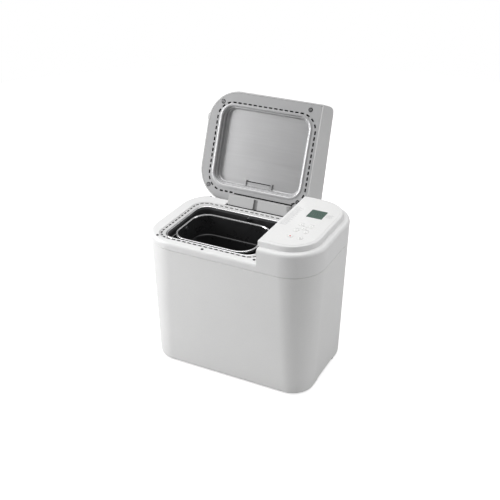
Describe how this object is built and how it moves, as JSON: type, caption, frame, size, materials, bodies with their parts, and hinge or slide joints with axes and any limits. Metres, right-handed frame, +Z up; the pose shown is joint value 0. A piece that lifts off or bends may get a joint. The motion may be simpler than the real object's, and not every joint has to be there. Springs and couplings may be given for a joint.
{
  "type": "bread machine",
  "caption": "Bread machine: tapered white housing, raised control panel at one end, hinged lid open over a baking chamber with a lift-out pan and kneading drive.",
  "frame": {"origin": "centre of the footprint on the surface that the machine stands on", "axes": "+X towards the end with the control panel, +Y towards the lid hinge, +Z up"},
  "size_m": [0.3882, 0.3863, 0.5121],
  "materials": {
    "white_plastic": "semi-gloss white moulding",
    "grey_plastic": "satin light grey moulding",
    "lid_plastic": "satin silver-grey moulding",
    "overlay_film": "smooth printed film",
    "key_plastic": "soft matt keys",
    "lcd_lens": "clear lens over a dark display",
    "dark_rubber": "matt black rubber",
    "chamber_steel": "dark heat-proof coating",
    "bright_steel": "brushed",
    "plated_steel": "zinc plated",
    "dish_aluminium": "fine brushed",
    "non_stick": "pressed aluminium with a dark satin non-stick coating",
    "cast_aluminium": "die cast",
    "bronze": "sintered bronze",
    "black_plastic": "black moulding",
    "circuit_board": "green solder mask",
    "heater_sheath": "oxidised sheath"
  },
  "bodies": {
    "housing": {"base_plate": "white_plastic", "rubber_feet": "dark_rubber", "base_screws": "plated_steel", "lower_housing": "white_plastic", "top_frame": "white_plastic", "deck_bumpers": "dark_rubber", "panel_cap": "white_plastic", "panel_overlay": "overlay_film", "lcd_window": "lcd_lens", "lcd_module": "black_plastic", "control_board": "circuit_board", "deck_ring": "grey_plastic", "chamber": "chamber_steel", "chamber_rim": "bright_steel", "heating_element": "heater_sheath", "heater_clips": "plated_steel", "temperature_sensor": "bright_steel", "pan_seat": "plated_steel", "chassis": "plated_steel", "bearing_housing": "cast_aluminium", "bearing_bushes": "bronze", "motor": "plated_steel", "motor_screws": "plated_steel", "drive_belt": "dark_rubber", "power_board": "circuit_board", "cord_gland": "grey_plastic", "hinge_bracket": "plated_steel", "hinge_pin": "bright_steel"},
    "drive": {"drive_shaft": "bright_steel", "large_pulley": "black_plastic", "drive_coupling": "cast_aluminium"},
    "rotor": {"motor_shaft": "bright_steel", "small_pulley": "black_plastic"},
    "pan": {"bread_pan": "non_stick", "pan_foot": "cast_aluminium", "pan_bearing": "bronze", "handle_pivots": "bright_steel"},
    "handle": {"pan_handle": "bright_steel"},
    "kneader": {"kneading_shaft": "bright_steel", "driven_coupling": "cast_aluminium"},
    "blade": {"kneading_blade": "non_stick"},
    "lid": {"lid_shell": "lid_plastic", "lid_frame": "grey_plastic", "lid_dish": "dish_aluminium", "lid_vent": "dish_aluminium", "lid_lug": "grey_plastic", "lid_screws": "plated_steel", "lid_tab": "lid_plastic"},
    "start_key": {"start_key": "key_plastic"},
    "stop_key": {"stop_key": "key_plastic"},
    "menu_key": {"menu_key": "key_plastic"},
    "size_key": {"size_key": "key_plastic"},
    "crust_key": {"crust_key": "key_plastic"},
    "timer_up_key": {"timer_up_key": "key_plastic"},
    "timer_down_key": {"timer_down_key": "key_plastic"}
  },
  "joints": [
    {"name": "lid_hinge", "type": "hinge", "parent": "housing", "child": "lid", "pos_m": [0, 0.112, 0.2916], "axis": [-1, 0, 0], "range_deg": [-110.8, 0]},
    {"name": "pan_lift", "type": "slide", "parent": "housing", "child": "pan", "axis": [0, 0, 1], "range_m": [0, 0.22]},
    {"name": "handle_swing", "type": "hinge", "parent": "pan", "child": "handle", "pos_m": [-0.048, -0.024, 0.28], "axis": [-1, 0, 0], "range_deg": [0, 180]},
    {"name": "drive_spin", "type": "hinge", "parent": "housing", "child": "drive", "pos_m": [-0.048, -0.024, 0.05], "axis": [0, 0, 1], "continuous": true},
    {"name": "rotor_spin", "type": "hinge", "parent": "housing", "child": "rotor", "pos_m": [0.117, -0.024, 0.05], "axis": [0, 0, 1], "continuous": true},
    {"name": "kneader_spin", "type": "hinge", "parent": "pan", "child": "kneader", "pos_m": [-0.048, -0.024, 0.12], "axis": [0, 0, 1], "continuous": true},
    {"name": "blade_lift", "type": "slide", "parent": "kneader", "child": "blade", "axis": [0, 0, 1], "range_m": [0, 0.16]},
    {"name": "start_key_press", "type": "slide", "parent": "housing", "child": "start_key", "axis": [0, 0, -1], "range_m": [0, 0.0008], "stiffness_N_per_m": 400},
    {"name": "stop_key_press", "type": "slide", "parent": "housing", "child": "stop_key", "axis": [0, 0, -1], "range_m": [0, 0.0008], "stiffness_N_per_m": 400},
    {"name": "menu_key_press", "type": "slide", "parent": "housing", "child": "menu_key", "axis": [0, 0, -1], "range_m": [0, 0.0008], "stiffness_N_per_m": 400},
    {"name": "size_key_press", "type": "slide", "parent": "housing", "child": "size_key", "axis": [0, 0, -1], "range_m": [0, 0.0008], "stiffness_N_per_m": 400},
    {"name": "crust_key_press", "type": "slide", "parent": "housing", "child": "crust_key", "axis": [0, 0, -1], "range_m": [0, 0.0008], "stiffness_N_per_m": 400},
    {"name": "timer_up_key_press", "type": "slide", "parent": "housing", "child": "timer_up_key", "axis": [0, 0, -1], "range_m": [0, 0.0008], "stiffness_N_per_m": 400},
    {"name": "timer_down_key_press", "type": "slide", "parent": "housing", "child": "timer_down_key", "axis": [0, 0, -1], "range_m": [0, 0.0008], "stiffness_N_per_m": 400}
  ],
  "couplings": [
    {"joint": "rotor_spin", "follows": "drive_spin", "ratio": 5},
    {"joint": "kneader_spin", "follows": "drive_spin", "ratio": 1}
  ]
}
